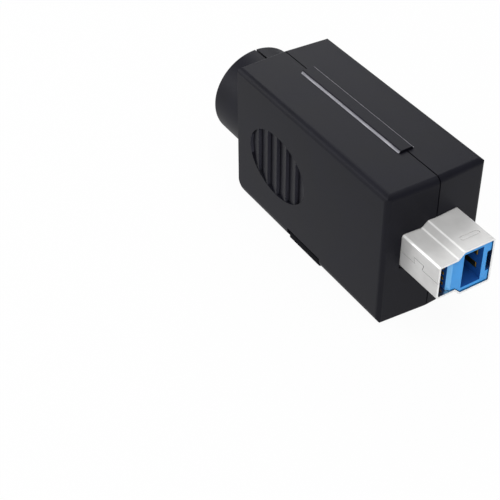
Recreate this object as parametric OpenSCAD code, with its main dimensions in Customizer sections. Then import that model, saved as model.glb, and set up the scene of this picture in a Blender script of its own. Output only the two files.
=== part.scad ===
// Solderless USB 3.0 type B plug in a moulded housing that folds open.
// X runs across the plug, Y from the mouth of the plug to the cable collar, Z upwards.
// The origin is the middle of the whole length and width, at the flat sole of the housing.

/* [Housing] */
// Width across both halves
housing_w = 18.6; // [18.4:0.2:22]
// Length between the front and rear faces
housing_l = 42.4; // [40:0.2:52]
// Height
housing_h = 26; // [25.5:0.5:30]
// Thickness of the walls
wall = 1.5; // [1.3:0.05:1.6]
// Gap between the two halves at the seam
seam_gap = 0.2; // [0.08:0.02:0.24]
// Rounding of the upper long edges
edge_r = 1.2; // [0.6:0.1:1.4]
// Rounding of the lower long edges
sole_r = 1.9; // [1:0.1:2.2]
// Rounding of the upper and lower front edges
front_r = 1.2; // [0.5:0.1:1.4]
// Rounding of the upright front edges
corner_r = 1; // [0.5:0.05:1.2]
// Rounding of the upright rear edges
rear_r = 0.5; // [0.3:0.05:1.2]
// Rounding of the upper rear edge
crown_r = 1; // [0.3:0.05:1.4]
// Rounding of the lower rear edge
heel_r = 4.3; // [1.6:0.1:4.6]
// How far the front face falls back at its sides
front_lean = 0.65; // [0.1:0.05:0.8]
// How far the top falls to its sides
top_fall = 0.35; // [0.1:0.05:0.6]
// How far the lip of the right half reaches into the left half
lip_depth = 0.7; // [0.4:0.1:0.9]
// Thickness of the ribs inside
rib_t = 1.1; // [0.8:0.1:1.3]

/* [Hinge strap] */
// Width of the strap across the seam
strap_w = 2.4; // [2.2:0.02:3.6]
// Length of the strap along the housing
strap_l = 26.6; // [18:0.2:30]
// Thickness of the strap
strap_t = 0.44; // [0.36:0.02:0.6]
// How far the strap sits in its recess
strap_sink = 0.07; // [0.04:0.01:0.12]
// Distance from the middle of the housing back to the middle of the strap and of the latch
strap_back = 0.4; // [-1:0.05:1.5]

/* [Finger grips] */
// Length of the oval
grip_l = 16.3; // [12:0.1:19]
// Height of the oval
grip_h = 11.9; // [8:0.1:14]
// Distance from the middle of the housing back to the middle of the oval
grip_y = 8.7; // [5:0.05:9.5]
// Depth of each serration
grip_depth = 0.65; // [0.25:0.05:0.7]
// Distance from one serration to the next
grip_pitch = 2.78; // [2.4:0.02:3.2]

/* [Latch] */
// Width of the latch tongue
latch_w = 9; // [6:0.2:10]
// Thickness of the latch tongue
latch_t = 1; // [0.8:0.05:1.1]
// Height of the lip at the end of the tongue
latch_h = 1.5; // [1.3:0.1:1.8]
// How far the end of the tongue stays behind the side face
latch_inset = 0.2; // [0.1:0.05:0.5]

/* [Cable collar] */
// Outside diameter
collar_d = 17.1; // [15:0.1:18]
// Length behind the housing
collar_l = 8.8; // [6:0.2:14]
// Gap between the halves of the collar
collar_gap = 0.4; // [0.24:0.02:0.6]
// Diameter of the bore for the cable
cable_bore = 12.4; // [9:0.1:13]
// Depth of the grooves that grip the cable
groove_deep = 0.5; // [0.3:0.1:0.8]

/* [Plug] */
// How far the plug stands out of the housing
plug_out = 8.4; // [8:0.1:12]
// Width of the square part of the shell
main_w = 8.45; // [8:0.05:8.6]
// Height of the whole shell, with the hump
plug_span = 10.44; // [10:0.02:10.8]
// Width of the hump
hump_w = 6.3; // [5.8:0.05:6.6]
// Height of the straight side of the hump
hump_h = 3.45; // [3:0.05:3.8]
// Thickness of the shell
shell_t = 0.35; // [0.25:0.05:0.4]
// Outside radius of the shell's bends
bend_r = 0.5; // [0.45:0.05:0.7]
// How far the plug's middle lies left of the seam
plug_shift = 0.75; // [0.6:0.05:0.9]
// How far the plug's middle lies above the middle of the housing
plug_rise = 1.4; // [0:0.1:1.6]
// Depth of the socket in the insulator
socket_deep = 7.6; // [6:0.1:8]
// Width of the slot in the hump
slot_w = 1.84; // [1.4:0.02:2]
// Thickness of the contact strips
contact_t = 0.25; // [0.2:0.01:0.3]

/* [Circuit board] */
// Thickness of the board
board_t = 1.2; // [1:0.1:1.2]
// Gap between the board's edges and the walls
board_gap = 0.7; // [0.4:0.1:0.8]

/* [Terminals] */
// Distance from one pole to the next
pole_pitch = 3.5; // [3.3:0.01:3.7]
// Depth of a terminal body, from its back to its wire entries
terminal_d = 7; // [6.6:0.1:8]
// Width of a wire cage
cage_w = 2.5; // [2.2:0.05:2.6]
// Height of a wire cage
cage_h = 3.3; // [3:0.05:3.4]
// Depth of a wire cage along the wire
cage_d = 2.6; // [2.2:0.1:2.8]
// How far a cage rises
cage_lift = 1; // [0.6:0.05:1.1]
// Diameter of a clamp screw's shank
shank_d = 1.6; // [1.4:0.05:1.7]
// Diameter of a clamp screw's head
head_d = 2.5; // [2.3:0.05:2.7]
// Height of a clamp screw's head
head_h = 0.9; // [0.7:0.05:0.95]

/* [Fits] */
// Clearance between pieces that fit together
fit = 0.1; // [0.06:0.01:0.12]
// Clearance between the shell and its slot in the housing
plug_fit = 0.15; // [0.1:0.01:0.2]

/* [Hidden] */
poles = 5;
usb2_count = 4;
ss_count = 5;

// Moulded plastic, plated steel and the rest, as the pieces look
housing_black = "#3a3a3e";
nickel = "#b8b9bb";
insulator_blue = "#3f8fd8";
carrier_black = "#1e1e20";
contact_gold = "#c9a648";
board_green = "#1d5c3a";
terminal_green = "#2f7d4b";
screw_zinc = "#a9adb0";
cage_brass = "#b6a06a";
pin_tin = "#c4c6c8";

// Longer than any piece, for cuts that run right through
beyond = 2 * (housing_l + housing_h);
// Keeps the faces of crossing outlines apart
hair = 0.02;
// Smallest rounding left on the inside of a rounded wall
least_r = 0.2;

front_y = plug_out - (plug_out + housing_l + collar_l) / 2;
rear_y = front_y + housing_l;
mid_y = (front_y + rear_y) / 2;
strap_y = mid_y + strap_back;
mid_z = housing_h / 2;
side_x = housing_w / 2;
left_side = -1;
right_side = 1;
// How far the latch tongue stays above the level of the sole
latch_z = 0.3;

// Crease lines of the strap: the middles of its two round edges
crease_x = strap_w / 2 - strap_t / 2;
crease_z = housing_h - strap_sink + strap_t / 2;

// Stations of the plug's outline across the seam, hump to the left
hump_x = -plug_shift - plug_span / 2;
shoulder = (main_w - hump_w) / 2;
neck_x = hump_x + hump_h;
main_x = neck_x + shoulder;
far_x = hump_x + plug_span;
plug_z = mid_z + plug_rise;
mouth_y = front_y - plug_out;

// The insulator's socket, slot and walls, from the hump to the square part
slot_x = hump_x + shell_t + slot_w;
tongue_t = 2.65;
socket_x = slot_x + tongue_t;
socket_w = 3.67;
socket_h = 6.4;
insulator_inset = 0.2;
tongue_bevel = 0.57;
wall_notch_w = 3.8;
wall_notch_d = 0.7;

// Rows of ribs, carrier and board behind the front wall
front_room = 2.3;
bulkhead_y = front_y + wall + front_room;
carrier_y = bulkhead_y + rib_t + fit;
carrier_t = 2;
carrier_rim = 1;
board_y = carrier_y + carrier_t + 3 * fit;
stop_x = 1.6;
stop_reach = 2.4;
stop_hold = 0.8;

// Contact strips: where they start, bend and lie on the board
usb2_w = 1;
usb2_pitch = 2.5;
ss_w = 0.5;
ss_pitch = 1;
contact_start = 1.4;
contact_proud = 0.05;
tail_l = 1.7;
tail_gap = 1.7;
tail_start = 0.9;
near_tail_y = board_y + tail_start;
far_tail_y = near_tail_y + tail_l + tail_gap;

// Board and its rails
terminal_end = 0.4;
board_z0 = wall + board_gap;
tail_clear = 1.4;
terminal_y = far_tail_y + tail_l + tail_clear;
terminal_half = pole_pitch * poles / 2 + terminal_end;
board_past = 0.6;
board_end_y = terminal_y + terminal_d + board_past;
rail_hold = 0.8;
rail_h = board_gap + rail_hold;
rail_t = 1.5;
pad_inset = 0.3;
// The seam's lip ends below the upper rails, so that the left half can also swing on its own crease
lip_rest = 3 * fit;
lip_top = housing_h - wall - rail_h - lip_rest;

// Heights in a terminal, counted from the board
terminal_floor = 0.7;
terminal_back = 1;
terminal_bevel = 1.2;
cage_t = 0.4;
nut_t = 0.7;
cage_u = terminal_floor + fit;
nut_u = cage_u + cage_h - nut_t;
plate_t = 0.3;
plate_gap = 0.3;
plate_u = nut_u - fit - plate_gap - plate_t;
pocket_top = cage_u + cage_h + cage_lift + fit;
seat_t = 0.5;
head_u = pocket_top + seat_t;
head_sink = 0.2;
terminal_h = head_u + head_h + head_sink;
tip_gap = 0.05;

// Depths in a terminal, counted from its back towards the wire entries
leg_gap = 0.15;
leg_y = terminal_back + leg_gap;
leg_t = 0.5;
leg_clear = 0.35;
cage_y = leg_y + leg_t + leg_clear;
screw_y = cage_y + cage_d / 2;
pocket_clear = 0.6;
pocket_end = cage_y + cage_d + pocket_clear;
leg_w = 0.6;
leg_shift = 0.65;
plate_w = 1.4;
plate_tail = 0.4;
leg_hole_d = 0.95;

function unit(v) = v / norm(v);
function wrapped(angle) = angle - 360 * round(angle / 360);

// Arc that rounds corner b between its neighbours a and c
function corner_arc(a, b, c, r, steps) =
    let (u = unit(a - b), v = unit(c - b), half = acos(u * v) / 2)
    let (centre = b + unit(u + v) * r / sin(half))
    let (p = b + u * r / tan(half) - centre, q = b + v * r / tan(half) - centre)
    let (start = atan2(p.y, p.x), sweep = wrapped(atan2(q.y, q.x) - start))
    [for (i = [0 : steps]) centre + r * [cos(start + sweep * i / steps), sin(start + sweep * i / steps)]];

// Outline through corners [x, y, r], each rounded by its r, or left sharp where r is 0
function rounded(corners, steps = 6) =
    let (n = len(corners), at = [for (c = corners) [c[0], c[1]]])
    [for (i = [0 : n - 1]) each corners[i][2] > 0
        ? corner_arc(at[(i + n - 1) % n], at[i], at[(i + 1) % n], corners[i][2], steps)
        : [at[i]]];

// Outline of a strip of thickness t that follows the bends of a path
function heading(path, i) = unit(path[i + 1] - path[i]);
function miter(path, i) =
    let (a = heading(path, max(i - 1, 0)), b = heading(path, min(i, len(path) - 2)))
    [-a.y - b.y, a.x + b.x] / (1 + a * b);
function strip(path, t) =
    let (last = len(path) - 1)
    concat(
        [for (i = [0 : last]) path[i] + miter(path, i) * t / 2],
        [for (i = [last : -1 : 0]) path[i] - miter(path, i) * t / 2]
    );

// Outline of the plug's shell, seen from the front and grown outwards by grow
function plug_outline(grow) =
    let (r = max(bend_r + grow, least_r / 2), slant = grow * (sqrt(2) - 1))
    let (main = main_w / 2 + grow, hump = hump_w / 2 + grow)
    rounded([
        [far_x + grow, plug_z - main, r],
        [far_x + grow, plug_z + main, r],
        [main_x - slant, plug_z + main, r],
        [neck_x - slant, plug_z + hump, r],
        [hump_x - grow, plug_z + hump, r],
        [hump_x - grow, plug_z - hump, r],
        [neck_x - slant, plug_z - hump, r],
        [main_x - slant, plug_z - main, r]
    ], 4);

// Extrudes an outline drawn in X and Z from y0 to y1
module along_y(y0, y1) {
    translate([0, y1, 0])
        rotate([90, 0, 0])
            linear_extrude(y1 - y0)
                children();
}

// Extrudes an outline drawn in Y and Z from x0 to x1
module along_x(x0, x1) {
    translate([x0, 0, 0])
        rotate([90, 0, 90])
            linear_extrude(x1 - x0)
                children();
}

// Extrudes an outline drawn in X and Y from z0 to z1
module along_z(z0, z1) {
    translate([0, 0, z0])
        linear_extrude(z1 - z0)
            children();
}

// A box between two opposite corners
module box(low, high) {
    translate(low)
        cube(high - low);
}

// An upright oblong with round ends, centred
module oblong(length, width) {
    square([length - width, width], center = true);
    for (s = [-1, 1])
        translate([s * (length - width) / 2, 0])
            circle(d = width, $fn = 24);
}

// Form of the closed housing drawn in by inset, with its long edges, upright edges and heel rounded
module housing_form(inset) {
    side = side_x - inset;
    front = front_y + inset;
    rear = rear_y - inset;
    top = housing_h - inset;
    edge = max(edge_r - inset, least_r);
    sole = max(sole_r - inset, least_r);
    nose = max(corner_r - inset, least_r);
    tail = max(rear_r - inset, least_r);
    heel = max(heel_r - inset, least_r);
    intersection() {
        along_y(front - 1, rear + 1)
            polygon(rounded([
                [-side, inset, sole],
                [side, inset, sole],
                [side, top - top_fall, edge],
                [0, top, 0],
                [-side, top - top_fall, edge]
            ]));
        along_z(inset - 1, top + 1)
            polygon(rounded([
                [0, front, 0],
                [side + hair, front + front_lean, nose],
                [side + hair, rear, tail],
                [-side - hair, rear, tail],
                [-side - hair, front + front_lean, nose]
            ]));
        along_x(-side - 1, side + 1)
            polygon(rounded([
                [front - hair, inset - hair, least_r],
                [rear + hair, inset - hair, heel],
                [rear + hair, top + hair, least_r],
                [front - hair, top + hair, least_r]
            ]));
    }
}

// Everything below and behind a rounded edge through the origin that leans back and falls to one side
module behind_edge(side, lean, fall, r) {
    slack = 0.02;
    rotate([0, side * atan(fall / side_x), 0])
        rotate([0, 0, side * atan(lean / side_x)])
            along_x(-beyond, beyond)
                polygon(rounded([
                    [0, 0, r],
                    [beyond, slack * beyond, 0],
                    [beyond, -beyond, 0],
                    [-slack * beyond, -beyond, 0]
                ]));
}

// The same for an edge that leans back and falls to both sides
module behind_bent_edge(lean, fall, r) {
    intersection() {
        behind_edge(left_side, lean, fall, r);
        behind_edge(right_side, lean, fall, r);
    }
}

// Outside form of the closed housing, with the edges across the front and the rear rounded too
module housing_skin() {
    intersection() {
        housing_form(0);
        translate([0, front_y, housing_h])
            behind_bent_edge(front_lean, top_fall, front_r);
        translate([0, front_y, 0])
            rotate([0, 180, 0])
                behind_bent_edge(front_lean, 0, front_r);
        translate([0, rear_y, housing_h])
            rotate([0, 0, 180])
                behind_bent_edge(0, top_fall, crown_r);
    }
}

// Everything on one side of the seam
module one_side(side) {
    start = side == right_side ? seam_gap / 2 : -beyond - seam_gap / 2;
    translate([start, -beyond / 2, -beyond / 2])
        cube(beyond);
}

// A round body along Y about the collar's axis
module about_collar(y0, y1, d0, d1) {
    translate([0, y0, mid_z])
        rotate([-90, 0, 0])
            cylinder(h = y1 - y0, d1 = d0, d2 = d1, $fn = 96);
}

// Outside of the cable collar with its chamfered end
module collar_form() {
    chamfer = 0.15;
    end_y = rear_y + collar_l;
    about_collar(rear_y - wall / 2, end_y - chamfer, collar_d, collar_d);
    about_collar(end_y - chamfer, end_y, collar_d, collar_d - 2 * chamfer);
}

// Slit that leaves the halves of the collar apart, to close on the cable
module collar_slit() {
    box(
        [-collar_gap / 2, rear_y, mid_z - collar_d],
        [collar_gap / 2, rear_y + collar_l + 1, mid_z + collar_d]
    );
}

// Way for the cable through the rear wall and the collar, with a flared mouth
module cable_way() {
    flare = 0.5;
    end_y = rear_y + collar_l;
    about_collar(rear_y - wall - 1, end_y + 1, cable_bore, cable_bore);
    about_collar(end_y - flare, end_y + flare, cable_bore, cable_bore + 4 * flare);
}

// Grooves around the bore, whose sharp lands bite into the cable's jacket
module cable_grooves() {
    r = cable_bore / 2;
    for (share = [0.2, 0.45, 0.7])
        translate([0, rear_y + collar_l * share, mid_z])
            rotate([-90, 0, 0])
                rotate_extrude($fn = 96)
                    polygon([[r - fit, -groove_deep], [r + groove_deep, 0], [r - fit, groove_deep]]);
}

// Slot for the shell in a half. The left one is cut lower under the hump, to swing clear of the shell
module plug_slot(side) {
    low = plug_z - main_w / 2 - plug_fit;
    hump_low = plug_z - hump_w / 2 - 2 * plug_fit;
    along_y(front_y - 1, bulkhead_y + rib_t + fit) {
        polygon(plug_outline(plug_fit));
        if (side == left_side)
            polygon([
                [hump_x - plug_fit, plug_z],
                [hump_x - plug_fit, hump_low],
                [neck_x - shoulder / 2, low - plug_fit / 2],
                [seam_gap, low - 2.5 * plug_fit],
                [seam_gap, plug_z]
            ]);
    }
}

// Oval finger grip on a side face: ramps that end in steps facing the plug
module finger_grip(side) {
    count = floor(grip_l / grip_pitch);
    centre_y = mid_y + grip_y;
    last_y = centre_y + grip_pitch * (count / 2 + 0.5);
    intersection() {
        along_x(-beyond, beyond)
            translate([centre_y, mid_z])
                polygon([for (a = [0 : 6 : 354]) [grip_l / 2 * cos(a), grip_h / 2 * sin(a)]]);
        along_z(0, housing_h)
            for (i = [0 : count])
                polygon([
                    [side * (side_x + 1), last_y - grip_pitch * i],
                    [side * (side_x - grip_depth), last_y - grip_pitch * i],
                    [side * side_x, last_y - grip_pitch * (i + 1)],
                    [side * (side_x + 1), last_y - grip_pitch * (i + 1)]
                ]);
    }
}

// Recess over the seam for the strap
module strap_recess() {
    reach = strap_w / 2 + fit;
    run = strap_l / 2 + fit;
    box([-reach, strap_y - run, housing_h - strap_sink - fit], [reach, strap_y + run, housing_h + 1]);
}

// Hollow half of the housing with its half of the collar
module tray(side) {
    difference() {
        intersection() {
            union() {
                housing_skin();
                collar_form();
            }
            one_side(side);
        }
        housing_form(wall);
        collar_slit();
        strap_recess();
        finger_grip(side);
    }
}

// Ribs are cut to the inside of the housing, with their roots in the walls
module rooted() {
    intersection() {
        children();
        housing_form(wall / 2);
    }
}

// Cross wall behind the front wall that steadies the shell
module bulkhead(side) {
    start = side == right_side ? seam_gap / 2 : lip_depth + 4 * fit;
    rooted()
        box(
            [side == right_side ? start : -side_x, bulkhead_y, 0],
            [side == right_side ? side_x : -start, bulkhead_y + rib_t, housing_h]
        );
}

// Two ribs behind the rim of the contact carrier
module carrier_stops() {
    rim = main_w / 2 + carrier_rim;
    y0 = carrier_y + carrier_t + fit;
    rooted()
        for (s = [-1, 1])
            box(
                [stop_x, y0, plug_z + min(s * (rim - stop_hold), s * (rim + stop_reach))],
                [side_x, y0 + rib_t, plug_z + max(s * (rim - stop_hold), s * (rim + stop_reach))]
            );
}

// Rails above and below that hold the edges of the board from one side
module board_rails(side, y1) {
    near = board_t / 2 + fit;
    rooted()
        for (z = [0, housing_h - wall - rail_h])
            box(
                [min(side * near, side * (near + rail_t)), board_y, z],
                [max(side * near, side * (near + rail_t)), y1, z + wall + rail_h]
            );
}

// Ends of the right rails that keep the board from sliding back
module board_stops() {
    rooted()
        for (z = [0, housing_h - wall - rail_h])
            box(
                [seam_gap, board_end_y + fit, z],
                [board_t / 2 + fit + rail_t, board_end_y + fit + rib_t, z + wall + rail_h]
            );
}

// Room for both terminals, which cuts pockets in the side walls of a narrow housing
module terminal_room() {
    reach = board_t / 2 + terminal_h + fit;
    half = terminal_half + fit;
    box(
        [-reach, terminal_y - fit, mid_z - half],
        [reach, terminal_y + terminal_d + fit, mid_z + half]
    );
}

// Ribs on a side wall that back the terminal when a screw is driven on the other side
module terminal_ribs(side) {
    behind = terminal_y + pad_inset;
    ahead = terminal_y + terminal_d - terminal_bevel - pad_inset - rib_t;
    rooted()
        for (y = [behind, ahead])
            box(
                [side == right_side ? 0 : -side_x, y, mid_z - terminal_half],
                [side == right_side ? side_x : 0, y + rib_t, mid_z + terminal_half]
            );
}

// The part of a form drawn in by inset that lies near the seam, up to a height
module seam_zone(inset, reach, root, top) {
    intersection() {
        housing_form(inset);
        box([-reach, -beyond, -beyond], [root, beyond, top]);
    }
}

// Lip along the seam, but for the top, that fits inside the wall of the left half
module seam_lip() {
    difference() {
        seam_zone(wall / 2 + fit, lip_depth, wall / 2, lip_top);
        housing_form(wall);
    }
}

// Latch tongue under the left half, with its upturned end in the notch
module latch_tongue() {
    lip = 0.9;
    slope = 0.5;
    nose_r = 0.45;
    end_x = -side_x + latch_inset;
    half = latch_w / 2;
    intersection() {
        along_y(strap_y - half, strap_y + half)
            polygon(rounded([
                [wall, latch_z, 0],
                [wall, latch_z + latch_t, 0],
                [end_x + lip + slope, latch_z + latch_t, 0],
                [end_x + lip, latch_z + latch_h, 0],
                [end_x, latch_z + latch_h, nose_r / 2],
                [end_x, latch_z, nose_r]
            ]));
        along_z(0, housing_h)
            polygon(rounded([
                [end_x, strap_y - half, nose_r],
                [2 * wall, strap_y - half, 0],
                [2 * wall, strap_y + half, 0],
                [end_x, strap_y + half, nose_r]
            ]));
    }
}

// Way for the latch tongue through the floor and the side wall of the left half
module latch_gate() {
    room = 0.5;
    half = latch_w / 2 + room / 2;
    box([-side_x - 1, strap_y - half, -1], [0, strap_y + half, latch_z + latch_h + room]);
}

module left_housing() {
    color(housing_black)
        difference() {
            union() {
                tray(left_side);
                bulkhead(left_side);
                board_rails(left_side, terminal_y - rail_t);
                terminal_ribs(left_side);
            }
            terminal_room();
            seam_zone(wall / 2, lip_depth + fit, 0, lip_top + lip_rest);
            plug_slot(left_side);
            latch_gate();
            cable_way();
            cable_grooves();
        }
}

module right_housing() {
    color(housing_black)
        difference() {
            union() {
                tray(right_side);
                seam_lip();
                bulkhead(right_side);
                carrier_stops();
                board_rails(right_side, board_end_y + fit + rib_t);
                board_stops();
                terminal_ribs(right_side);
                latch_tongue();
            }
            terminal_room();
            plug_slot(right_side);
            cable_way();
            cable_grooves();
        }
}

// Strap over the seam, with round edges about its two crease lines
module hinge_strap() {
    color(housing_black)
        along_y(strap_y - strap_l / 2, strap_y + strap_l / 2)
            translate([0, crease_z])
                oblong(strap_w, strap_t);
}

// Joint of the folded sheet along the hump, with a dovetail key in its middle
module shell_joint() {
    slit = 0.08;
    key_w = 1;
    key_l = 2.4;
    flare = 0.3;
    key_y = mouth_y + plug_out * 0.55;
    along_x(hump_x - shell_t, hump_x + 2 * shell_t)
        translate([0, plug_z])
            polygon(strip([
                [mouth_y - 1, 0],
                [key_y - key_l / 2 + flare, 0],
                [key_y - key_l / 2, key_w],
                [key_y + key_l / 2, key_w],
                [key_y + key_l / 2 - flare, 0],
                [carrier_y + 1, 0]
            ], slit));
}

// Shallow stamped oblong on a broad face of the square part
module shell_stamp(side) {
    stamp_l = 3.7;
    stamp_w = 1;
    line = 0.22;
    deep = 0.07;
    from_mouth = 2.5;
    face_z = plug_z + side * main_w / 2;
    translate([(main_x + far_x) / 2, mouth_y + from_mouth, 0])
        along_z(face_z - deep, face_z + deep)
            difference() {
                oblong(stamp_l, stamp_w);
                oblong(stamp_l - 2 * line, stamp_w - 2 * line);
            }
}

module plug_shell() {
    color(nickel)
        difference() {
            along_y(mouth_y, carrier_y)
                polygon(plug_outline(0));
            along_y(mouth_y - 1, carrier_y + 1)
                polygon(plug_outline(-shell_t));
            shell_joint();
            for (s = [-1, 1])
                shell_stamp(s);
        }
}

// Lines of the contact strips across the plug: left of the socket, right of it, and on the tongue
usb2_x = [
    socket_x - contact_t / 2 + contact_proud,
    socket_x + socket_w + contact_t / 2 - contact_proud
];
ss_x = slot_x + contact_t / 2 - contact_proud;
function usb2_row(i) = usb2_x[floor((i - 1) / 2)];
function usb2_z(i) = plug_z + usb2_pitch * ((i - 1) % 2 - 0.5);
function ss_z(i) = plug_z + ss_pitch * (i - (ss_count + 1) / 2);

// Channels that the contact strips lie in, grown by fit all round
module contact_channels(y0, y1) {
    half = contact_t / 2 + fit / 2;
    for (i = [1 : usb2_count])
        box(
            [usb2_row(i) - half, y0, usb2_z(i) - usb2_w / 2 - fit / 2],
            [usb2_row(i) + half, y1, usb2_z(i) + usb2_w / 2 + fit / 2]
        );
    for (i = [1 : ss_count])
        box(
            [ss_x - half, y0, ss_z(i) - ss_w / 2 - fit / 2],
            [ss_x + half, y1, ss_z(i) + ss_w / 2 + fit / 2]
        );
}

// Blue insulator: slot for the narrow tongue in the hump, socket for the square one
module plug_insulator() {
    face_y = mouth_y + insulator_inset;
    deep_y = mouth_y + socket_deep;
    color(insulator_blue)
        difference() {
            along_y(face_y, carrier_y)
                polygon(plug_outline(-shell_t - fit / 2));
            box([hump_x, face_y - 1, plug_z - main_w], [slot_x, deep_y, plug_z + main_w]);
            along_z(plug_z - main_w, plug_z + main_w)
                polygon([
                    [slot_x - 1, face_y - 1],
                    [slot_x + tongue_bevel + 1, face_y - 1],
                    [slot_x - 1, face_y + tongue_bevel + 1]
                ]);
            box(
                [socket_x, face_y - 1, plug_z - socket_h / 2],
                [socket_x + socket_w, deep_y, plug_z + socket_h / 2]
            );
            box(
                [far_x - shell_t - wall_notch_d, face_y - 1, plug_z - wall_notch_w / 2],
                [far_x, deep_y - 2, plug_z + wall_notch_w / 2]
            );
            contact_channels(mouth_y + contact_start - fit, carrier_y + 1);
        }
}

// Rear block with a rim wider than the shell
module contact_carrier() {
    color(carrier_black)
        difference() {
            along_y(carrier_y, carrier_y + carrier_t)
                polygon(plug_outline(carrier_rim));
            contact_channels(carrier_y - 1, carrier_y + carrier_t + 1);
        }
}

// One contact strip: straight through plug and carrier, then bent to the face of the board
module contact(x, z, w, side, tail_y) {
    bend_y = carrier_y + carrier_t + 2 * fit;
    color(contact_gold)
        along_z(z - w / 2, z + w / 2)
            polygon(strip([
                [x, mouth_y + contact_start],
                [x, bend_y],
                [side * (board_t + contact_t) / 2, tail_y],
                [side * (board_t + contact_t) / 2, tail_y + tail_l]
            ], contact_t));
}

module usb2_contact(i) {
    contact(usb2_row(i), usb2_z(i), usb2_w, i > 2 ? right_side : left_side, near_tail_y + (i > 2 ? 2 : 0));
}

module ss_contact(i) {
    contact(ss_x, ss_z(i), ss_w, left_side, far_tail_y);
}

// Places a piece of pole i on one face of the board, with X as its height above the board
module at_pole(side, i) {
    translate([0, 0, mid_z])
        rotate([0, side == right_side ? 0 : 180, 0])
            translate([board_t / 2, terminal_y, pole_pitch * (i - (poles + 1) / 2)])
                children();
}

module circuit_board() {
    color(board_green)
        difference() {
            box([-board_t / 2, board_y, board_z0], [board_t / 2, board_end_y, housing_h - board_z0]);
            for (side = [left_side, right_side], i = [1 : poles])
                at_pole(side, i)
                    translate([-2 * board_t, leg_y + leg_t / 2, leg_shift])
                        rotate([0, 90, 0])
                            cylinder(h = 3 * board_t, d = leg_hole_d, $fn = 24);
        }
}

// Round body of a clamp screw or of its hole, from height u0 to u1
module about_screw(u0, u1, d) {
    translate([u0, screw_y, 0])
        rotate([0, 90, 0])
            cylinder(h = u1 - u0, d = d, $fn = 32);
}

// What one pole takes out of a terminal body
module pole_pocket() {
    half = cage_w / 2 + fit;
    slot = leg_w / 2 + fit;
    box([terminal_floor, terminal_back, -half], [pocket_top, pocket_end, half]);
    box([terminal_floor, pocket_end - 1, -half], [cage_u + cage_h + fit, terminal_d + 1, half]);
    box([-1, leg_y - fit, leg_shift - slot], [terminal_floor + 1, leg_y + leg_t + fit, leg_shift + slot]);
    about_screw(pocket_top - 1, head_u, shank_d + 3 * fit);
    about_screw(head_u, terminal_h + 1, head_d + 3 * fit);
}

module terminal(side) {
    color(terminal_green)
        difference() {
            at_pole(side, (poles + 1) / 2)
                along_z(-terminal_half, terminal_half)
                    polygon([
                        [0, 0],
                        [terminal_h, 0],
                        [terminal_h, terminal_d - terminal_bevel],
                        [terminal_h - terminal_bevel, terminal_d],
                        [0, terminal_d]
                    ]);
            for (i = [1 : poles])
                at_pole(side, i)
                    pole_pocket();
        }
}

// Slotted clamp screw, its tip just clear of the contact plate
module clamp_screw(side, i) {
    slot_w = 0.4;
    slot_deep = 0.45;
    head_top = head_u + head_h;
    color(screw_zinc)
        at_pole(side, i)
            difference() {
                union() {
                    about_screw(plate_u + plate_t + tip_gap, head_u + head_h / 2, shank_d);
                    about_screw(head_u, head_top, head_d);
                }
                translate([head_top, screw_y, 0])
                    cube([2 * slot_deep, 2 * head_d, slot_w], center = true);
            }
}

// Square ring that the screw draws up against the contact plate
module wire_cage(side, i) {
    half = cage_w / 2;
    window = half - cage_t;
    color(cage_brass)
        at_pole(side, i)
            difference() {
                box([cage_u, cage_y, -half], [cage_u + cage_h, cage_y + cage_d, half]);
                box([cage_u + cage_t, cage_y - 1, -window], [nut_u, cage_y + cage_d + 1, window]);
                about_screw(nut_u - cage_t, cage_u + cage_h + 1, shank_d + 2 * fit);
            }
}

// Pin: a leg soldered in the board, bent to the plate that the wire is pressed on
module terminal_pin(side, i) {
    plate_end = cage_y + cage_d + plate_tail;
    color(pin_tin)
        at_pole(side, i) {
            box([-board_t, leg_y, leg_shift - leg_w / 2], [plate_u + plate_t, leg_y + leg_t, leg_shift + leg_w / 2]);
            box([plate_u, leg_y, -plate_w / 2], [plate_u + plate_t, plate_end, plate_w / 2]);
        }
}

left_housing();
right_housing();
hinge_strap();
plug_shell();
plug_insulator();
contact_carrier();
circuit_board();
for (i = [1 : usb2_count]) usb2_contact(i);
for (i = [1 : ss_count]) ss_contact(i);
terminal(left_side);  // left_terminal
terminal(right_side);  // right_terminal
for (i = [1 : poles]) clamp_screw(left_side, i);
for (i = [1 : poles]) clamp_screw(right_side, i);
for (i = [1 : poles]) wire_cage(left_side, i);
for (i = [1 : poles]) wire_cage(right_side, i);
for (i = [1 : poles]) terminal_pin(left_side, i);
for (i = [1 : poles]) terminal_pin(right_side, i);
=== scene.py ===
"""Solderless USB 3.0 type B plug: looks of the moulded housing, the plug and the screw terminals inside."""

import math

import bmesh
import bpy
import numpy as np
from mathutils import Matrix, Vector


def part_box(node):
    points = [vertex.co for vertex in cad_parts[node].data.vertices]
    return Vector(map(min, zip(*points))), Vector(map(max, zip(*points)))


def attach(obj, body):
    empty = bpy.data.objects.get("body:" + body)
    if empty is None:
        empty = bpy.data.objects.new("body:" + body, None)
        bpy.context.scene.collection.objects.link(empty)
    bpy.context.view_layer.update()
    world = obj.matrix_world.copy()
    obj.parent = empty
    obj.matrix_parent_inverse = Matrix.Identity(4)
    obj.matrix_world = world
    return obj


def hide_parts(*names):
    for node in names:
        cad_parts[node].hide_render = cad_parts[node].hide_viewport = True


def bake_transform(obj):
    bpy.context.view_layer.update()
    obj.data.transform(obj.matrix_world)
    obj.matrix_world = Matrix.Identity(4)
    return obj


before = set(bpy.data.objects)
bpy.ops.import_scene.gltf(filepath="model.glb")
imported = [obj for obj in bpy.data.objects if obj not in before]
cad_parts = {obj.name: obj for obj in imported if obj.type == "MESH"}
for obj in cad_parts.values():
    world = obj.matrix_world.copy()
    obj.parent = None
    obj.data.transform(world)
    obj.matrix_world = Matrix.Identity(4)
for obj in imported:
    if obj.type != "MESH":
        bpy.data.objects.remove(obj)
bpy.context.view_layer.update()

MM = 0.001
POLES = range(1, 6)
USB2_CONTACTS = range(1, 5)
SIDES = {"left": -1, "right": 1}
WELD = 0.0005 * MM
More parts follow.
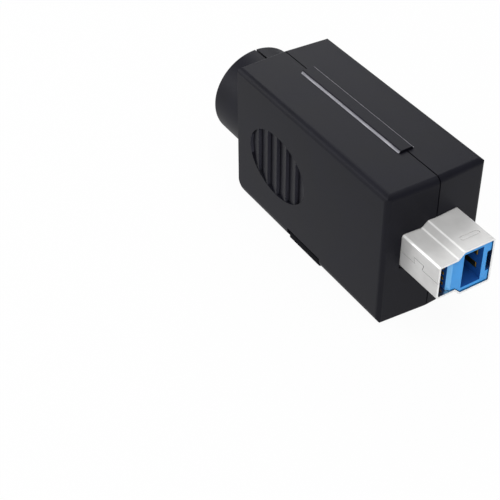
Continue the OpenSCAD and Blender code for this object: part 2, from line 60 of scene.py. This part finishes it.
FLAT_DEGREES = 0.5
EDGE_DEGREES = 30
EDGE_SEGMENTS = 2
SMOOTH_DEGREES = 50
ROUND_STEPS = 16
RAMP_END = 0.7

# Least share of an axis in the normal of a face that looks straight along it, or leans to it
STRAIGHT = 0.9
LEANING = 0.3


def linear(code):
    """An sRGB hex colour as linear RGBA: each channel c becomes ((c + 0.055) / 1.055) ** 2.4."""
    channels = np.array([int(code[i : i + 2], 16) / 255 for i in (1, 3, 5)])
    bright = ((channels + 0.055) / 1.055) ** 2.4
    return (*np.where(channels <= 0.04045, channels / 12.92, bright), 1.0)


def add(tree, kind, inputs=None, **settings):
    """Adds a node, with its settings, and links or sets each of its inputs."""
    node = tree.nodes.new(kind)
    for name, value in settings.items():
        setattr(node, name, value)
    for name, value in (inputs or {}).items():
        if isinstance(value, bpy.types.NodeSocket):
            tree.links.new(value, node.inputs[name])
        else:
            node.inputs[name].default_value = value
    return node


def new_material(name):
    """An empty material: its tree, the output node and the Object coordinates in metres."""
    material = bpy.data.materials.new(name)
    material.use_nodes = True
    tree = material.node_tree
    tree.nodes.clear()
    output = add(tree, "ShaderNodeOutputMaterial")
    place = add(tree, "ShaderNodeTexCoord").outputs["Object"]
    return material, tree, output, place


def per_metre(size_mm):
    """Scale of a pattern whose features are size_mm apart."""
    return 1 / (size_mm * MM)


def two_tone(tree, factor, deep, bright, start):
    """A colour that runs from deep to bright while the factor runs from start to RAMP_END."""
    tint = add(tree, "ShaderNodeValToRGB", {"Fac": factor})
    first, last = tint.color_ramp.elements
    first.position, first.color = start, linear(deep)
    last.position, last.color = RAMP_END, linear(bright)
    return tint.outputs["Color"]


def black_abs(name, dark, pale, rough, grain_mm, depth_mm, gloss=0.12):
    """Black ABS from a spark-eroded mould: nearly black, with a fine matt grain that spreads the gloss.

    The real grain is finer than grain_mm, at which it is drawn so that it shows.
    """
    material, tree, output, place = new_material(name)
    clouds = add(tree, "ShaderNodeTexNoise", {"Vector": place, "Scale": per_metre(7), "Detail": 3.0})
    cloud = clouds.outputs["Fac"]
    tint = two_tone(tree, cloud, dark, pale, start=0.35)
    sheen = add(tree, "ShaderNodeMapRange", {"Value": cloud, "To Min": rough - 0.04, "To Max": rough + 0.05})
    grain = add(tree, "ShaderNodeTexNoise", {"Vector": place, "Scale": per_metre(grain_mm), "Detail": 2.0})
    bump = add(
        tree,
        "ShaderNodeBump",
        {"Height": grain.outputs["Fac"], "Strength": 0.5, "Distance": depth_mm * MM},
    )
    shader = add(
        tree,
        "ShaderNodeBsdfPrincipled",
        {
            "Base Color": tint,
            "Roughness": sheen.outputs["Result"],
            "Normal": bump.outputs["Normal"],
            "IOR": 1.5,
            "Specular IOR Level": gloss,
        },
    )
    tree.links.new(shader.outputs["BSDF"], output.inputs["Surface"])
    return material


def whitened_abs():
    """ABS bent at a crease: the stretched skin turns milky in fine streaks along the fold."""
    material, tree, output, place = new_material("stress_whitened_abs")
    along = add(tree, "ShaderNodeMapping", {"Vector": place, "Scale": (1, 0.12, 1)})
    streak = add(
        tree,
        "ShaderNodeTexNoise",
        {"Vector": along.outputs["Vector"], "Scale": per_metre(0.35), "Detail": 4.0},
    ).outputs["Fac"]
    tint = two_tone(tree, streak, "#706f76", "#a09fa5", start=0.3)
    bump = add(tree, "ShaderNodeBump", {"Height": streak, "Strength": 0.3, "Distance": 0.02 * MM})
    shader = add(
        tree,
        "ShaderNodeBsdfPrincipled",
        {"Base Color": tint, "Roughness": 0.5, "IOR": 1.5, "Normal": bump.outputs["Normal"]},
    )
    tree.links.new(shader.outputs["BSDF"], output.inputs["Surface"])
    return material


def plated_metal(name, deep, bright, stretch, rough, line_mm, depth_mm, metallic=1.0):
    """Plated metal with the fine drawn lines of its strip, seen as a satin gloss that varies a little.

    The real lines are finer than line_mm, at which they are drawn so that they show.
    """
    material, tree, output, place = new_material(name)
    along = add(tree, "ShaderNodeMapping", {"Vector": place, "Scale": stretch})
    lines = add(
        tree,
        "ShaderNodeTexNoise",
        {"Vector": along.outputs["Vector"], "Scale": per_metre(line_mm), "Detail": 3.0},
    ).outputs["Fac"]
    cloud = add(tree, "ShaderNodeTexNoise", {"Vector": place, "Scale": per_metre(2.5), "Detail": 2.0})
    tint = two_tone(tree, cloud.outputs["Fac"], deep, bright, start=0.3)
    gloss = add(tree, "ShaderNodeMapRange", {"Value": lines, "To Min": rough - 0.06, "To Max": rough + 0.08})
    bump = add(tree, "ShaderNodeBump", {"Height": lines, "Strength": 0.3, "Distance": depth_mm * MM})
    shader = add(
        tree,
        "ShaderNodeBsdfPrincipled",
        {
            "Base Color": tint,
            "Metallic": metallic,
            "Roughness": gloss.outputs["Result"],
            "Normal": bump.outputs["Normal"],
        },
    )
    tree.links.new(shader.outputs["BSDF"], output.inputs["Surface"])
    return material


def moulded_polymer(name, deep, bright, rough, ior, flow_mm, gloss=0.5):
    """A moulded engineering plastic: an even colour with faint flow clouds and a semi-gloss skin."""
    material, tree, output, place = new_material(name)
    flow = add(
        tree,
        "ShaderNodeTexNoise",
        {"Vector": place, "Scale": per_metre(flow_mm), "Detail": 3.0, "Distortion": 0.4},
    ).outputs["Fac"]
    tint = two_tone(tree, flow, deep, bright, start=0.3)
    sheen = add(tree, "ShaderNodeMapRange", {"Value": flow, "To Min": rough - 0.04, "To Max": rough + 0.06})
    skin = add(tree, "ShaderNodeTexNoise", {"Vector": place, "Scale": per_metre(0.2), "Detail": 2.0})
    bump = add(
        tree,
        "ShaderNodeBump",
        {"Height": skin.outputs["Fac"], "Strength": 0.2, "Distance": 0.006 * MM},
    )
    shader = add(
        tree,
        "ShaderNodeBsdfPrincipled",
        {
            "Base Color": tint,
            "Roughness": sheen.outputs["Result"],
            "Normal": bump.outputs["Normal"],
            "IOR": ior,
            "Specular IOR Level": gloss,
        },
    )
    tree.links.new(shader.outputs["BSDF"], output.inputs["Surface"])
    return material


# Strips are drawn along Y in the shell and the contacts; screws are turned about X
ALONG_Y = (1, 0.04, 1)
ABOUT_X = (0.3, 1, 1)

# The grips' steps are painted paler, a painted light on faces that stand in shade; the latch's end is painted
# darker, a painted shade, and coarse, so that it looks dull
housing_abs = black_abs(
    "moulded_black_abs", "#101017", "#15151d", rough=0.5, grain_mm=0.16, depth_mm=0.02
)
steps_painted_light_abs = black_abs(
    "painted_light_black_abs", "#34343c", "#3c3c44", rough=0.5, grain_mm=0.16, depth_mm=0.02
)
tongue_painted_shade_abs = black_abs(
    "coarse_painted_shade_abs", "#0b0b10", "#0f0f14", rough=0.6, grain_mm=0.3, depth_mm=0.04, gloss=0.03
)
crease_abs = whitened_abs()

# The shell's flats are satin and even; its bends and rim are painted paler and brighter, a painted highlight,
# and its inside mirrors the dark around it
shell_nickel = plated_metal(
    "satin_nickel_plate", "#c2c1bf", "#cbcac8", ALONG_Y,
    rough=0.36, line_mm=0.12, depth_mm=0.004, metallic=0.08,
)
shell_bend_painted_highlight = plated_metal(
    "painted_highlight_nickel_bend", "#f2f1ef", "#fbfaf8", ALONG_Y,
    rough=0.2, line_mm=0.12, depth_mm=0.003, metallic=0.15,
)
shell_inside = plated_metal(
    "bright_rolled_nickel", "#b4b3b1", "#c2c1bf", ALONG_Y,
    rough=0.25, line_mm=0.12, depth_mm=0.003,
)

# The insulator's front is semi-gloss, its lead-in bevel polished and painted pale, a painted highlight, its
# cored inside matt and painted deep, a painted shade
insulator_pbt = moulded_polymer(
    "moulded_blue_pbt", "#2296e4", "#2b9dec", rough=0.32, ior=1.55, flow_mm=3, gloss=0.4
)
insulator_lead_painted_highlight = moulded_polymer(
    "polished_painted_highlight_pbt", "#55b4f6", "#5fbafa", rough=0.22, ior=1.55, flow_mm=3, gloss=1.0
)
insulator_painted_shade_core = moulded_polymer(
    "matt_painted_shade_blue_pbt", "#124a92", "#17529c", rough=0.55, ior=1.55, flow_mm=2, gloss=0.25
)

# The contact carrier is even and dull, and the gold flash on the contacts warm and bright
carrier_lcp = moulded_polymer(
    "moulded_black_lcp", "#141415", "#1c1c1e", rough=0.5, ior=1.6, flow_mm=1.5
)
contact_gold = plated_metal(
    "gold_flashed_bronze", "#a9823a", "#c29b50", ALONG_Y,
    rough=0.3, line_mm=0.1, depth_mm=0.002,
)

# The board's mask is glossy, and paler over copper; its sawn edges are dull and straw-coloured
mask_green = moulded_polymer(
    "green_solder_mask", "#0f4a2c", "#14573a", rough=0.3, ior=1.5, flow_mm=2
)
laminate = moulded_polymer(
    "sawn_glass_laminate", "#7d7748", "#948c58", rough=0.65, ior=1.5, flow_mm=0.4
)
trace_mask = moulded_polymer(
    "solder_mask_over_copper", "#1d6b43", "#247a4e", rough=0.3, ior=1.5, flow_mm=2
)

# The terminals are semi-gloss; their screws look cool and bright, their cages brassy, pins and solder silvery
terminal_pa = moulded_polymer(
    "moulded_green_polyamide", "#1f7a43", "#278a4e", rough=0.42, ior=1.53, flow_mm=2
)
screw_zinc = plated_metal(
    "zinc_plated_steel", "#a9adb0", "#c2c5c6", ABOUT_X,
    rough=0.33, line_mm=0.1, depth_mm=0.004,
)
cage_brass = plated_metal(
    "nickel_flashed_brass", "#b9a878", "#cdbf92", ALONG_Y,
    rough=0.36, line_mm=0.12, depth_mm=0.004,
)
pin_tin = plated_metal(
    "tinned_copper", "#bfc1c3", "#d0d2d3", ALONG_Y,
    rough=0.34, line_mm=0.15, depth_mm=0.004,
)
solder_tin = plated_metal(
    "reflowed_solder", "#b3b6b9", "#cfd1d2", (1, 1, 1),
    rough=0.22, line_mm=0.3, depth_mm=0.006,
)


def show(mesh, name, material):
    """Puts a finished mesh in the scene as a piece with its material."""
    piece = bpy.data.objects.new(name, mesh)
    bpy.context.scene.collection.objects.link(piece)
    mesh.materials.clear()
    mesh.materials.append(material)
    return piece


def dressed(node, name, body, material, edge_mm):
    """A CAD solid with its facets merged, its edges broken by edge_mm and its curves smooth."""
    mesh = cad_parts[node].data.copy()
    shape = bmesh.new()
    shape.from_mesh(mesh)
    bmesh.ops.remove_doubles(shape, verts=shape.verts, dist=WELD)
    flat = math.radians(FLAT_DEGREES)
    bmesh.ops.dissolve_limit(shape, angle_limit=flat, verts=shape.verts, edges=shape.edges)
    shape.to_mesh(mesh)
    shape.free()
    mesh.shade_smooth()
    mesh.set_sharp_from_angle(angle=math.radians(EDGE_DEGREES))
    piece = show(mesh, name, material)
    if edge_mm:
        bevel = piece.modifiers.new("broken_edges", "BEVEL")
        bevel.width = edge_mm * MM
        bevel.segments = EDGE_SEGMENTS
        bevel.limit_method = "ANGLE"
        bevel.angle_limit = math.radians(EDGE_DEGREES)
        bevel.miter_outer = "MITER_ARC"
        bevel.use_clamp_overlap = True
    even = piece.modifiers.new("flat_faces_stay_flat", "WEIGHTED_NORMAL")
    even.mode = "FACE_AREA"
    even.weight = 100
    even.keep_sharp = True
    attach(piece, body)
    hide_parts(node)
    return piece


def grid_mesh(name, points, closed=False, caps=False):
    """A mesh of quads over a grid of points (u, v, 3), which may close around v and have caps over u."""
    nu, nv = points.shape[:2]
    index = np.arange(nu * nv).reshape(nu, nv)
    rows = np.concatenate([index, index[:, :1]], axis=1) if closed else index
    quads = np.stack([rows[:-1, :-1], rows[1:, :-1], rows[1:, 1:], rows[:-1, 1:]], axis=-1).reshape(-1, 4)
    faces = quads.tolist()
    if caps:
        faces += [index[0].tolist(), index[-1, ::-1].tolist()]
    mesh = bpy.data.meshes.new(name)
    mesh.from_pydata(points.reshape(-1, 3).tolist(), [], faces)
    return mesh


def closed_outwards(mesh):
    """Merges doubles, turns the faces outwards and smooths the curves."""
    shape = bmesh.new()
    shape.from_mesh(mesh)
    bmesh.ops.remove_doubles(shape, verts=shape.verts, dist=WELD)
    bmesh.ops.recalc_face_normals(shape, faces=shape.faces)
    shape.to_mesh(mesh)
    shape.free()
    mesh.shade_smooth()
    mesh.set_sharp_from_angle(angle=math.radians(SMOOTH_DEGREES))
    return mesh


def face_arrays(mesh):
    """Each face's normal, centre and area, as three arrays."""
    count = len(mesh.polygons)
    facing, middle, area = np.zeros(count * 3), np.zeros(count * 3), np.zeros(count)
    mesh.polygons.foreach_get("normal", facing)
    mesh.polygons.foreach_get("center", middle)
    mesh.polygons.foreach_get("area", area)
    return facing.reshape(-1, 3), middle.reshape(-1, 3), area


def repaint(piece, material, faces):
    """Gives the chosen faces of a piece one more material."""
    index = np.zeros(len(faces), np.int32)
    piece.data.polygons.foreach_get("material_index", index)
    index[faces] = len(piece.data.materials)
    piece.data.materials.append(material)
    piece.data.polygons.foreach_set("material_index", index)


def joined(name, meshes):
    """One closed mesh of several, their points and faces stacked."""
    points, faces, first = [], [], 0
    for mesh in meshes:
        count = len(mesh.vertices)
        at = np.zeros(count * 3)
        mesh.vertices.foreach_get("co", at)
        points.append(at.reshape(-1, 3))
        faces += [[first + v for v in face.vertices] for face in mesh.polygons]
        first += count
    whole = bpy.data.meshes.new(name)
    whole.from_pydata(np.concatenate(points).tolist(), [], faces)
    return closed_outwards(whole)


# Housing: both halves and the strap
left_half = dressed("left_housing", "left_half", "cover_half", housing_abs, edge_mm=0.12)
right_half = dressed("right_housing", "right_half", "base_half", housing_abs, edge_mm=0.12)
dressed("hinge_strap", "strap_band", "strap", housing_abs, edge_mm=0.04)

strap_low, strap_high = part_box("hinge_strap")
strap_top = strap_high.z
housing_low, housing_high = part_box("right_housing")

# The grips' steps face the plug, just under the side faces
# Only the latch of the right half reaches far to the left
GRIP_DEPTH = 0.7 * MM
LATCH_FROM = -8 * MM
for half in (left_half, right_half):
    facing, middle, _ = face_arrays(half.data)
    beside = np.abs(middle[:, 0]) > housing_high.x - GRIP_DEPTH
    # Painted light: the grips' steps, which stand in shade, get a paler black
    repaint(half, steps_painted_light_abs, beside & (facing[:, 1] < -STRAIGHT) & (middle[:, 1] > 0))
facing, middle, _ = face_arrays(right_half.data)
# Painted shade: the latch's end, recessed in its notch, gets a darker black
repaint(right_half, tongue_painted_shade_abs, (facing[:, 0] < -LEANING) & (middle[:, 0] < LATCH_FROM))

CREASE_R = (strap_high.z - strap_low.z) / 2
CREASE_X = strap_high.x - CREASE_R
FLANK = 0.28 * MM
FILM = 0.06 * MM
FILM_LIFT = 0.008 * MM
FOOT_SINK = 0.05 * MM
FRONT_INSET = 0.15 * MM
REAR_INSET = 0.1 * MM


def crease_film(name, side, reach_degrees):
    """Milky skin over a crease, from the strap's round shoulder to the housing's top.

    Its outside first follows the shoulder, from reach_degrees down to level: x = cos(a), z = sin(a).
    Then it runs out in a cove, a quarter of an ellipse: x = 1 - cos(t), z = -sin(t).
    Its inside lies FILM behind.
    """
    shoulder = np.radians(np.linspace(reach_degrees, 0, 7))
    cove = np.radians(np.linspace(15, 90, 6))
    radius = CREASE_R + FILM_LIFT
    middle_z = strap_top - CREASE_R
    foot = middle_z - housing_high.z + FOOT_SINK
    flank_x = CREASE_X + radius
    x = np.concatenate([CREASE_X + radius * np.cos(shoulder), flank_x + FLANK * (1 - np.cos(cove))])
    z = np.concatenate([middle_z + radius * np.sin(shoulder), middle_z - foot * np.sin(cove)])
    step = np.stack([np.gradient(x), np.gradient(z)], -1)
    step /= np.linalg.norm(step, axis=1)[:, None]
    outside = np.stack([x, z], -1)
    inside = outside + FILM * np.stack([step[:, 1], -step[:, 0]], -1)
    profile = np.concatenate([outside, inside[::-1]])
    y = np.linspace(strap_low.y + FRONT_INSET, strap_high.y - REAR_INSET, 41)
    points = np.empty((len(y), len(profile), 3))
    points[..., 0] = side * profile[None, :, 0]
    points[..., 1] = y[:, None]
    points[..., 2] = profile[None, :, 1]
    mesh = closed_outwards(grid_mesh(name, points, closed=True, caps=True))
    film = show(mesh, name, crease_abs)
    near = (side * flank_x, 0, strap_top)
    far = (side * (flank_x + FLANK), 0, strap_top)
    return film, near, far


film, near, far = crease_film("right_crease", SIDES["right"], reach_degrees=72)
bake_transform(film)
film, near, far = crease_film("left_crease", SIDES["left"], reach_degrees=20)
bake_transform(film)

# The beads lie a little to the right of the seam's middle, and fill it to a hair
BEAD_X = 0.03 * MM
BEAD_HALF_W = 0.128 * MM
BEAD_DEPTH = 1.15 * MM
BEAD_HALF_H = 0.3 * MM
BEAD_FRONT = 0.9 * MM
BEAD_REAR = 42.3 * MM


def signed_root(value):
    """The square root of the size of a value, with its sign."""
    return np.sign(value) * np.sqrt(np.abs(value))


def seam_bead(name, start_y, end_y):
    """A rib along y that closes the top seam from inside: x = a cos(t) ** 0.5, z = b sin(t) ** 0.5."""
    t = np.linspace(0, 2 * np.pi, ROUND_STEPS, endpoint=False)
    x = BEAD_X + BEAD_HALF_W * signed_root(np.cos(t))
    z = housing_high.z - BEAD_DEPTH + BEAD_HALF_H * signed_root(np.sin(t))
    y = np.linspace(start_y, end_y, 9)
    points = np.stack(np.broadcast_arrays(x[None, :], y[:, None], z[None, :]), -1)
    return grid_mesh(name, points, closed=True, caps=True)


beads = [
    seam_bead("front_bead", housing_low.y + BEAD_FRONT, strap_low.y),
    seam_bead("rear_bead", strap_high.y, housing_low.y + BEAD_REAR),
]
bead = show(joined("seam_beads", beads), "seam_beads", housing_abs)
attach(bead, "base_half")

# Plug: the shell's faces are inside, bends, rim or plain, and the insulator's are front, bevel or core; the
# bends, the rim and the bevel get a painted highlight, the core a painted shade
BEND_AREA = 8 * MM * MM
BEND_LEAN = 0.25
INWARDS = 0.1 * MM
RIM_DEPTH = 0.1 * MM
FRONT_DEPTH = 0.7 * MM
shell = dressed("plug_shell", "shell_sheet", "base_half", shell_nickel, edge_mm=0.07)
shell_low, shell_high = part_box("plug_shell")
facing, middle, area = face_arrays(shell.data)
inwards = np.array((shell_low + shell_high) / 2) - middle
inside = (inwards[:, ::2] * facing[:, ::2]).sum(1) > INWARDS
bend = (np.abs(facing[:, ::2]).min(1) > BEND_LEAN) & (area < BEND_AREA)
rim = (facing[:, 1] < -STRAIGHT) & (middle[:, 1] < shell_low.y + RIM_DEPTH)
repaint(shell, shell_inside, inside)
# Painted highlight: the bends and the rim get a paler, brighter nickel
repaint(shell, shell_bend_painted_highlight, (bend | rim) & ~inside)
insulator = dressed(
    "plug_insulator", "insulator_block", "base_half", insulator_pbt, edge_mm=0.06
)
insulator_low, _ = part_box("plug_insulator")
facing, middle, _ = face_arrays(insulator.data)
core = (facing[:, 1] > -LEANING) | (middle[:, 1] > insulator_low.y + FRONT_DEPTH)
# Painted shade: the socket's inside, deep and in shade, gets a deeper blue
repaint(insulator, insulator_painted_shade_core, core)
# Painted highlight: the lead-in bevel gets a paler blue
repaint(insulator, insulator_lead_painted_highlight, (facing[:, 0] < -LEANING) & ~core)
dressed("contact_carrier", "carrier_block", "base_half", carrier_lcp, edge_mm=0.1)
for i in USB2_CONTACTS:
    dressed(f"usb2_contact_{i}", f"usb2_strip_{i}", "base_half", contact_gold, edge_mm=0.05)
for i in POLES:
    dressed(f"ss_contact_{i}", f"ss_strip_{i}", "base_half", contact_gold, edge_mm=0.04)

# Board: mask on its two faces, bare laminate at its sawn edges
board = dressed("circuit_board", "board_plate", "base_half", mask_green, edge_mm=0)
facing, _, _ = face_arrays(board.data)
repaint(board, laminate, np.abs(facing[:, 0]) < STRAIGHT)
_, board_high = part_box("circuit_board")

TRACK_W = 0.42 * MM
TRACK_STEPS = 15
TRACK_UNDER = 1 * MM
STUB_L = 3 * MM
STUB_SWERVE = 1.4 * MM
MOUND_HALF = (0.36 * MM, 0.75 * MM)
MOUND_BACK = 0.35 * MM
MOUND_SPILL = 0.14 * MM


def solder_mound(name, centre, half_size):
    """A pillow of solder, an ellipsoid: x = a cos(t), y = b sin(t) cos(p), z = c sin(t) sin(p)."""
    pole_to_pole = np.linspace(0, np.pi, 9)
    around = np.linspace(0, 2 * np.pi, ROUND_STEPS, endpoint=False)
    t, p = np.meshgrid(pole_to_pole, around, indexing="ij")
    ball = np.stack([np.cos(t), np.sin(t) * np.cos(p), np.sin(t) * np.sin(p)], -1)
    return grid_mesh(name, np.array(centre) + ball * np.array(half_size), closed=True)


def trace_strip(name, face_x, side, path):
    """A copper track: a flat ribbon along a path of (y, z), raised a little from the board's face."""
    step = np.gradient(path, axis=0)
    across = np.stack([-step[:, 1], step[:, 0]], -1) / np.linalg.norm(step, axis=1)[:, None]
    lift = np.array([-0.03, 0.045, 0.045, -0.03]) * MM
    offset = np.array([-0.55, -0.45, 0.45, 0.55]) * TRACK_W
    points = np.empty((len(path), 4, 3))
    points[..., 0] = face_x + side * lift
    points[..., 1:] = path[:, None, :] + across[:, None, :] * offset[None, :, None]
    return grid_mesh(name, points, closed=True, caps=True)


def bent(y0, z0, y1, z1):
    """A track's route: it leaves and arrives along y, and crosses over on a smoothstep between."""
    s = np.linspace(0, 1, TRACK_STEPS)
    ease = s * s * (3 - 2 * s)
    return np.stack([y0 + (y1 - y0) * s, z0 + (z1 - z0) * ease], -1)


mounds, tracks = [], []
tails = [(f"usb2_contact_{i}", "right" if i > 2 else "left") for i in USB2_CONTACTS]
tails += [(f"ss_contact_{i}", "left") for i in POLES]
terminal_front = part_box("left_terminal")[0].y
for count, (node, side_name) in enumerate(tails):
    side = SIDES[side_name]
    low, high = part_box(node)
    face_x = side * board_high.x
    mid_z = (low.z + high.z) / 2
    wide = high.z - low.z
    mounds.append(
        solder_mound(
            f"mound_{count}",
            (face_x, high.y - MOUND_BACK, mid_z),
            (*MOUND_HALF, wide / 2 + MOUND_SPILL),
        )
    )
    # A track ends under a pole: those of the two USB 2 contacts on the right under poles 2 and 4
    # The two USB 2 contacts on the left have only a short stub
    if node.startswith("ss") or side_name == "right":
        pole = int(node[-1]) if node.startswith("ss") else int(node[-1]) * 2 - 4
        pole_low, pole_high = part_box(f"{side_name}_cage_{pole}")
        end_z = (pole_low.z + pole_high.z) / 2
        path = bent(high.y, mid_z, terminal_front + TRACK_UNDER, end_z)
    else:
        swerve = STUB_SWERVE if node[-1] == "2" else -STUB_SWERVE
        path = bent(high.y, mid_z, high.y + STUB_L, mid_z + swerve)
    tracks.append(trace_strip(f"track_{count}", face_x, side, path))
solder = show(joined("solder_joints", mounds), "solder_joints", solder_tin)
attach(solder, "base_half")
copper = show(joined("board_tracks", tracks), "board_tracks", trace_mask)
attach(copper, "base_half")

# Terminals: each screw and each cage is a body of its own, with the name of its node
for side in SIDES:
    block = f"{side}_terminal"
    dressed(block, f"{block}_block", "base_half", terminal_pa, edge_mm=0.08)
    for i in POLES:
        screw = f"{side}_screw_{i}"
        cage = f"{side}_cage_{i}"
        dressed(screw, f"{side}_clamp_screw_{i}", screw, screw_zinc, edge_mm=0.05)
        dressed(cage, f"{side}_wire_cage_{i}", cage, cage_brass, edge_mm=0.06)
        dressed(
            f"{side}_pin_{i}", f"{side}_contact_pin_{i}", "base_half", pin_tin, edge_mm=0.04
        )

# Floor, light and camera
scene = bpy.context.scene
scene.view_settings.view_transform = "Standard"

FLOOR_SHARE = 0.96
FLOOR_Z = -0.02 * MM
FLOOR_HALF = 3.0


def white_floor():
    """A pale floor that keeps the shadow: seen or mirrored it is mostly white, the rest takes the light."""
    material, tree, output, _ = new_material("white_floor")
    path = add(tree, "ShaderNodeLightPath").outputs
    seen = add(
        tree,
        "ShaderNodeMath",
        {0: path["Is Camera Ray"], 1: path["Is Glossy Ray"]},
        operation="MAXIMUM",
    )
    either = add(
        tree,
        "ShaderNodeMath",
        {0: seen.outputs[0], 1: path["Is Transmission Ray"]},
        operation="MAXIMUM",
    )
    share = add(tree, "ShaderNodeMath", {0: either.outputs[0], 1: FLOOR_SHARE}, operation="MULTIPLY")
    matt = add(tree, "ShaderNodeBsdfDiffuse", {"Color": linear("#dadada")})
    white = add(tree, "ShaderNodeEmission", {"Color": (1, 1, 1, 1), "Strength": 1.0})
    mix = add(tree, "ShaderNodeMixShader", {0: share.outputs[0], 1: matt.outputs[0], 2: white.outputs[0]})
    tree.links.new(mix.outputs[0], output.inputs["Surface"])
    return material


ends = np.array([-FLOOR_HALF, FLOOR_HALF])
corner_x, corner_y = np.meshgrid(ends, ends, indexing="ij")
floor_mesh = grid_mesh("floor", np.stack([corner_x, corner_y, np.full((2, 2), FLOOR_Z)], -1))
floor = bpy.data.objects.new("floor", floor_mesh)
scene.collection.objects.link(floor)
floor_mesh.materials.append(white_floor())

world = bpy.data.worlds.new("studio")
scene.world = world
world.use_nodes = True
world.node_tree.nodes["Background"].inputs["Color"].default_value = linear("#eef0f5")
world.node_tree.nodes["Background"].inputs["Strength"].default_value = 0.35


def softbox(name, towards, distance, size, watts):
    """A square soft lamp that shines on the object from a direction."""
    lamp = bpy.data.lights.new(name, "AREA")
    lamp.size = size
    lamp.energy = watts
    holder = bpy.data.objects.new(name, lamp)
    scene.collection.objects.link(holder)
    aim = np.array(towards) / np.linalg.norm(towards)
    up = np.array([0.0, 0.0, 1.0])
    right = np.cross(up, aim)
    right /= np.linalg.norm(right)
    turn = np.stack([right, np.cross(aim, right), aim], axis=1)
    holder.matrix_world = Matrix.Translation(aim * distance) @ Matrix(turn.tolist()).to_4x4()


softbox("key_softbox", towards=(-0.12, -0.3, 1.0), distance=0.9, size=0.6, watts=5.6)
softbox("back_softbox", towards=(0.45, 0.75, 0.65), distance=0.8, size=0.5, watts=2.3)
softbox("left_softbox", towards=(-0.65, 0.65, 0.4), distance=0.6, size=0.25, watts=1.0)
softbox("backdrop_softbox", towards=(-0.6, 0.75, 0.25), distance=0.8, size=0.8, watts=1.5)
softbox("low_softbox", towards=(-0.75, -0.65, 0.2), distance=0.9, size=0.4, watts=1.5)

# Camera at the photograph's viewing angle
RIGHT = (0.8481, -0.5299, -0.0041)
DOWN = (-0.3475, -0.5503, -0.7592)
FORWARD = (0.4, 0.6453, -0.6508)
STAND = (-100.83 * MM, -130.66 * MM, 137.55 * MM)
lens = bpy.data.cameras.new("view")
lens.lens = 90.0
lens.sensor_width = 36.0
lens.clip_start = 0.01
camera = bpy.data.objects.new("view", lens)
scene.collection.objects.link(camera)
axes = np.stack([RIGHT, -np.array(DOWN), -np.array(FORWARD)], axis=1)
camera.matrix_world = Matrix.Translation(STAND) @ Matrix(axes.tolist()).to_4x4()
scene.camera = camera
